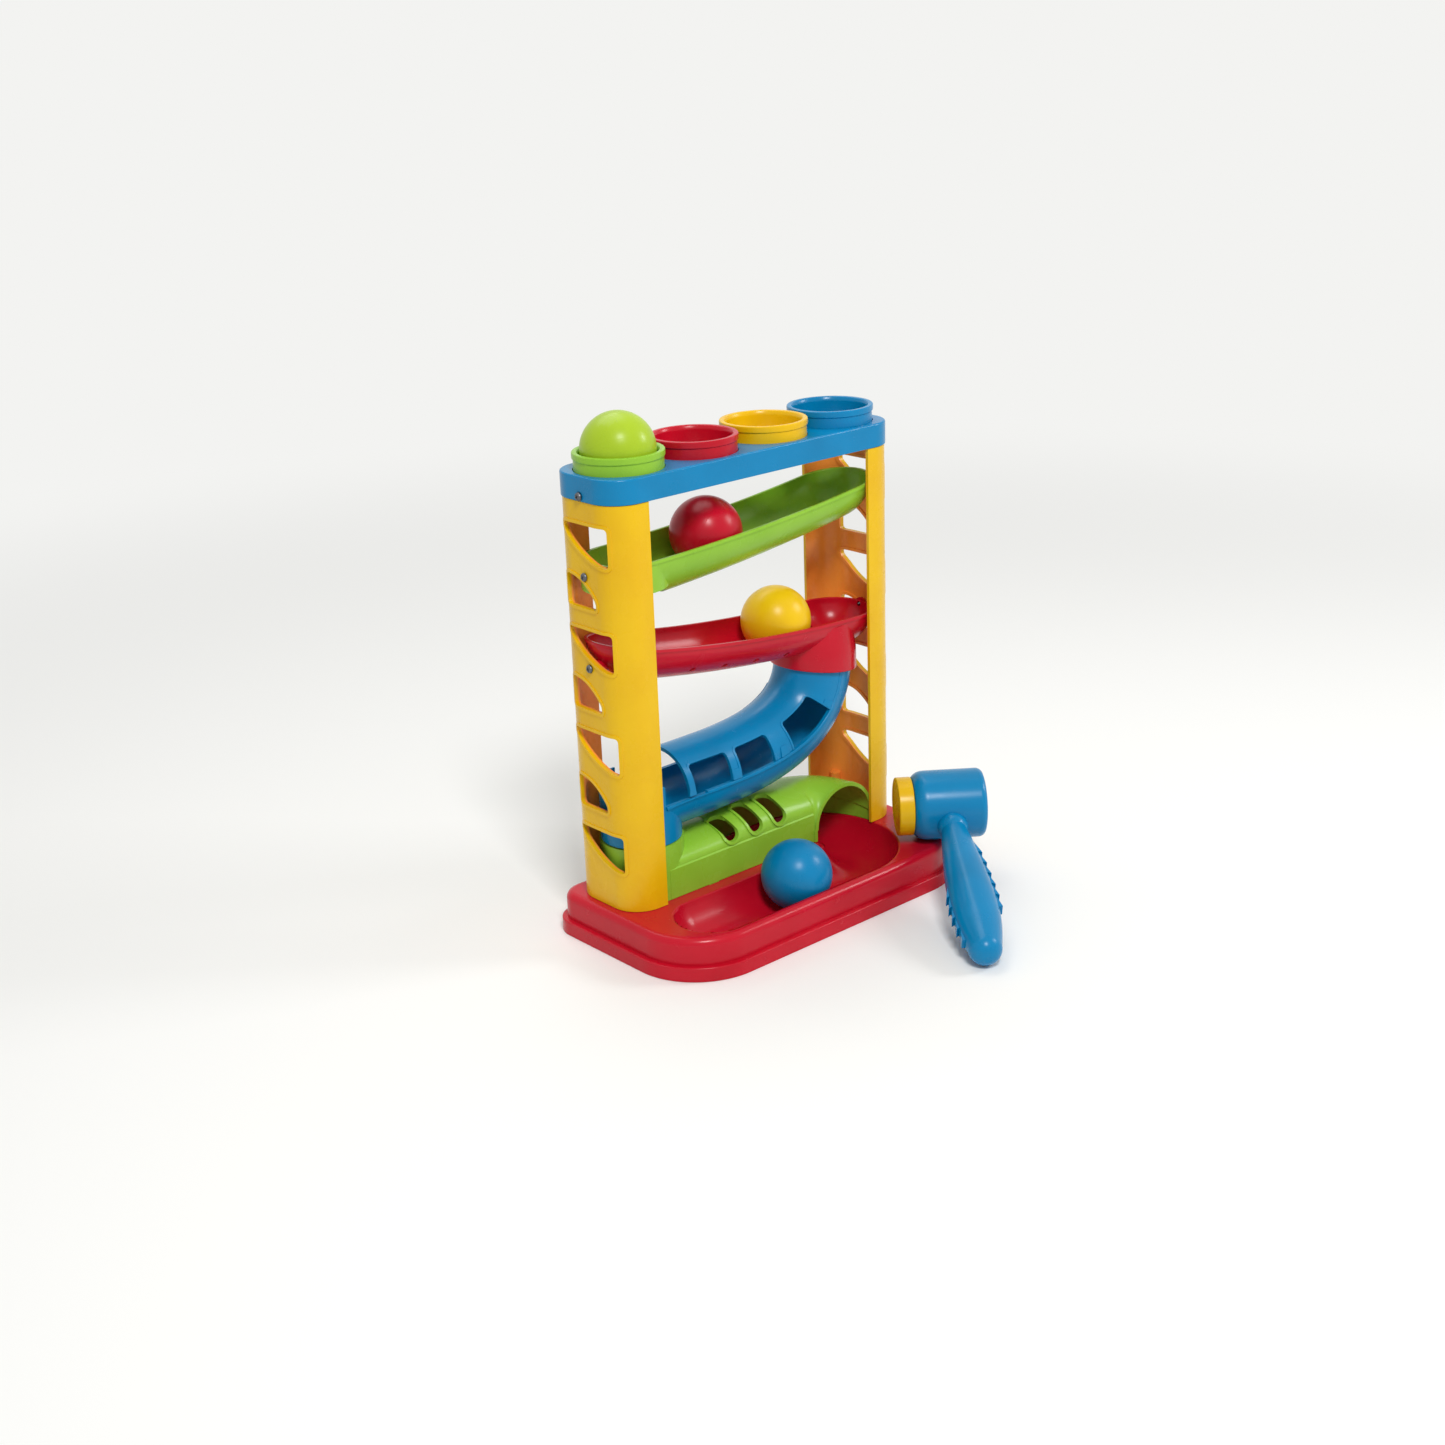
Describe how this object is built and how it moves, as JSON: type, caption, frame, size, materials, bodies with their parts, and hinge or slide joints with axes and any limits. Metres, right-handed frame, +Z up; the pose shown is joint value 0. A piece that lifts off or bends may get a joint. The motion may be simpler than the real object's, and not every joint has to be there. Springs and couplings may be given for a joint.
{
  "type": "ball pounding tower",
  "caption": "Moulded toy tower: balls pounded through soft rings in the top rail roll down ramps, a windowed tube and a tunnel into a front trough. With its hammer.",
  "frame": {"origin": "on the underside of the base's middle foot, below the middle of the tower", "axes": "+X along the tower to the end where the balls enter the tube, +Y away from the player, +Z up"},
  "size_m": [0.264, 0.2389, 0.3271],
  "materials": {
    "red_plastic": "glossy moulded",
    "yellow_plastic": "glossy moulded",
    "blue_plastic": "glossy moulded",
    "green_plastic": "glossy moulded",
    "lime_plastic": "glossy moulded",
    "green_soft_plastic": "soft, satin",
    "red_soft_plastic": "soft, satin",
    "yellow_soft_plastic": "soft, satin",
    "blue_soft_plastic": "soft, satin",
    "screw_steel": "plated"
  },
  "bodies": {
    "tower": {"base_tray": "red_plastic", "left_column": "yellow_plastic", "right_column": "yellow_plastic", "top_rail": "blue_plastic", "green_collar": "green_plastic", "red_collar": "red_plastic", "yellow_collar": "yellow_plastic", "blue_collar": "blue_plastic", "green_finger_ring": "green_soft_plastic", "red_finger_ring": "red_soft_plastic", "yellow_finger_ring": "yellow_soft_plastic", "blue_finger_ring": "blue_soft_plastic", "upper_ramp": "green_plastic", "lower_ramp": "red_plastic", "tube_channel": "blue_plastic", "tube_cover": "blue_plastic", "tunnel": "green_plastic", "upper_ramp_screw_left": "screw_steel", "upper_ramp_screw_right": "screw_steel", "lower_ramp_screw_left": "screw_steel", "lower_ramp_screw_right": "screw_steel", "rail_screw_left": "screw_steel", "rail_screw_right": "screw_steel", "foot_screw_left_front": "screw_steel", "foot_screw_left_back": "screw_steel", "foot_screw_right_front": "screw_steel", "foot_screw_right_back": "screw_steel"},
    "lime_ball": {"lime_ball": "lime_plastic"},
    "red_ball": {"red_ball": "red_plastic"},
    "yellow_ball": {"yellow_ball": "yellow_plastic"},
    "blue_ball": {"blue_ball": "blue_plastic"},
    "hammer": {"hammer_barrel": "blue_plastic", "hammer_cap": "yellow_plastic", "hammer_handle": "blue_plastic"}
  },
  "joints": [
    {"name": "lime_ball_drop", "type": "slide", "parent": "tower", "child": "lime_ball", "axis": [0, 0, -1], "range_m": [0, 0.1115], "deforming": ["green_finger_ring"]},
    {"name": "red_ball_roll", "type": "hinge", "parent": "tower", "child": "red_ball", "pos_m": [-0.15664, 0, 1.7135], "axis": [0, 1, 0], "range_deg": [-3.95, 1.38]},
    {"name": "yellow_ball_roll", "type": "hinge", "parent": "tower", "child": "yellow_ball", "pos_m": [0.10443, 0, 1.14853], "axis": [0, 1, 0], "range_deg": [0, 4.27]},
    {"name": "blue_ball_roll", "type": "slide", "parent": "tower", "child": "blue_ball", "axis": [1, 0, 0], "range_m": [-0.068, 0.05]},
    {"name": "hammer_lift", "type": "slide", "parent": "tower", "child": "hammer", "axis": [0, 0, 1], "range_m": [0, 0.12]}
  ]
}
